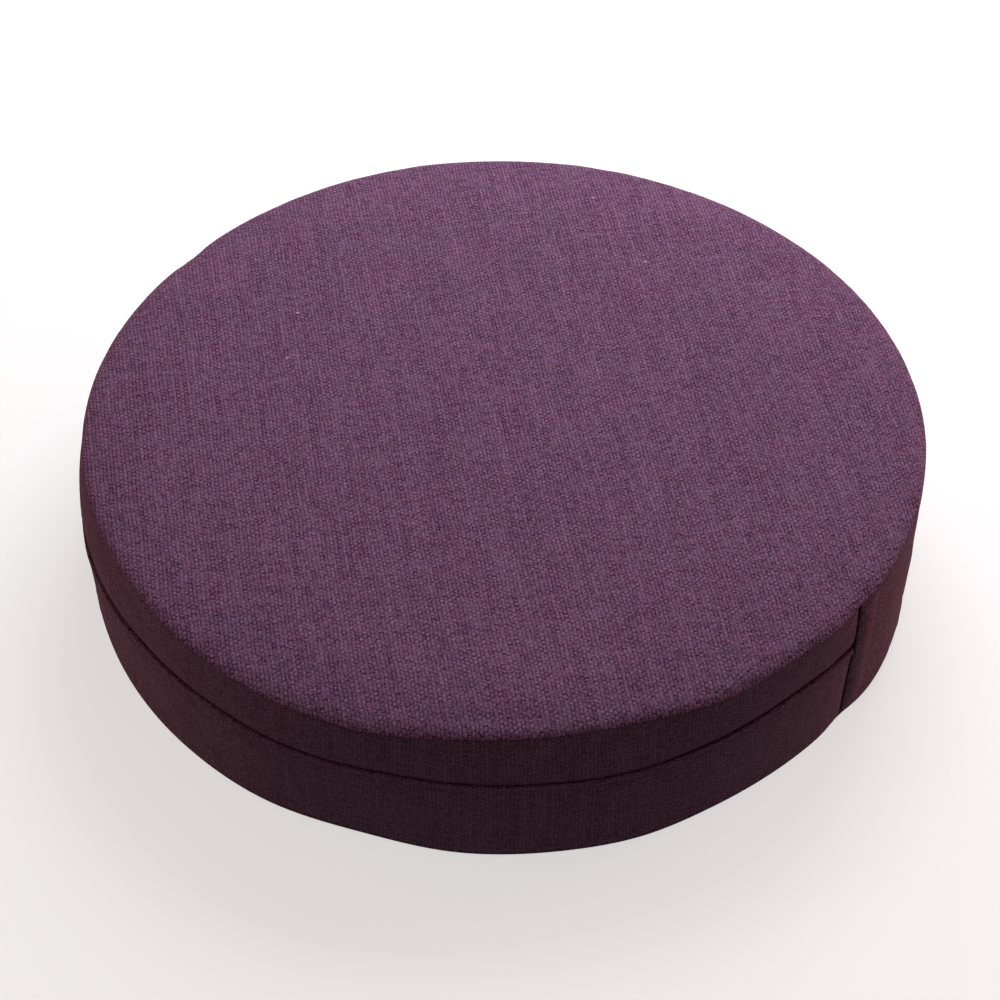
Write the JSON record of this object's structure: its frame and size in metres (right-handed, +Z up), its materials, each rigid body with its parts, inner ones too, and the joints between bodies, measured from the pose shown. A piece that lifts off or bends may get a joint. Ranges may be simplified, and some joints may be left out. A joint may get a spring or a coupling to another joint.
{
  "type": "round meditation cushion",
  "caption": "Flat round floor cushion, foam-filled, in plain-weave cloth, with a crowned top, a boxed side and a covered wavy closing line.",
  "frame": {"origin": "on the surface that the cushion rests on, under the middle of its outline", "axes": "+Z up through the thickness, -Y towards the front, where the closing line shows and the picture was taken from"},
  "size_m": [0.4046, 0.4052, 0.0827],
  "materials": {
    "top_cloth": "purple linen-look plain weave, matt, slubby",
    "boxing_cloth": "purple linen-look plain weave, matt, slubby",
    "base_cloth": "purple linen-look plain weave, matt"
  },
  "bodies": {
    "root": {"filled_body": "base_cloth", "base_panel": "base_cloth", "boxing_lower_strip": "boxing_cloth", "boxing_upper_strip": "boxing_cloth", "boxing_plain_strip": "boxing_cloth", "top_panel": "top_cloth"}
  },
  "joints": []
}
